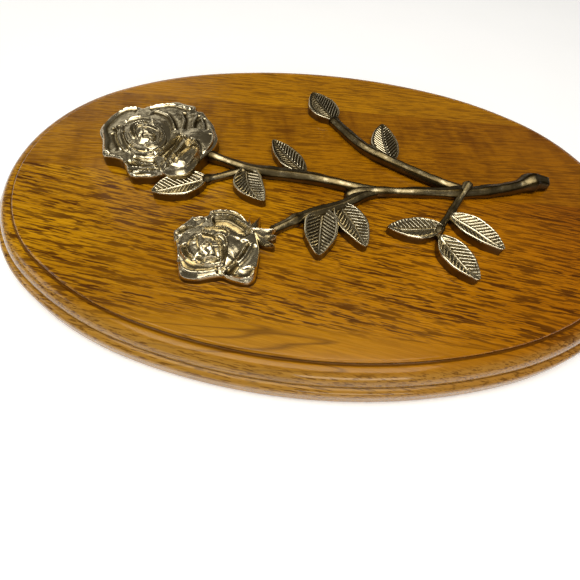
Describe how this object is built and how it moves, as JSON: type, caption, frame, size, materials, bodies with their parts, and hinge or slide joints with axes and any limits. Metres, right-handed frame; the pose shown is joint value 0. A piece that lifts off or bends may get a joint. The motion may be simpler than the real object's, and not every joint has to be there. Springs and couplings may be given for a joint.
{
  "type": "wooden plaque",
  "caption": "Oval oak wall plaque with a routed edge, carrying a cast metal spray of roses, stems and veined leaves on its face and a keyhole hanger in its back.",
  "frame": {"origin": "centre of the board's flat back, which the plaque lies on", "axes": "+Z out of the front face, +X along the long axis from the roses to the cut end of the stem, +Y to the top of the hung plaque"},
  "size_m": [0.356, 0.232, 0.036],
  "materials": {
    "oak": "semi-gloss golden lacquer",
    "cast_metal": "antiqued and polished casting",
    "steel": "zinc plated"
  },
  "bodies": {
    "root": {"stave_back": "oak", "stave_middle": "oak", "stave_front": "oak", "stave_front_edge": "oak", "big_rose_outer_petals": "cast_metal", "big_rose_side_petals": "cast_metal", "big_rose_inner_petals": "cast_metal", "big_rose_bud": "cast_metal", "small_rose_outer_petals": "cast_metal", "small_rose_inner_petals": "cast_metal", "small_rose_bud": "cast_metal", "small_rose_sepals": "cast_metal", "main_stem": "cast_metal", "big_rose_stem": "cast_metal", "small_rose_stem": "cast_metal", "upper_branch": "cast_metal", "leaf_twig": "cast_metal", "short_twig": "cast_metal", "leaf_beside_big_rose": "cast_metal", "leaf_in_front_of_stem": "cast_metal", "leaf_behind_stem": "cast_metal", "leaf_pair_left": "cast_metal", "leaf_pair_right": "cast_metal", "leaf_branch_tip": "cast_metal", "leaf_branch_side": "cast_metal", "leaf_twig_left": "cast_metal", "leaf_twig_right": "cast_metal", "leaf_twig_end": "cast_metal", "mounting_studs": "steel", "stud_washers": "steel", "stud_nuts": "steel", "hanger_plate": "steel", "hanger_screws": "steel"}
  },
  "joints": []
}
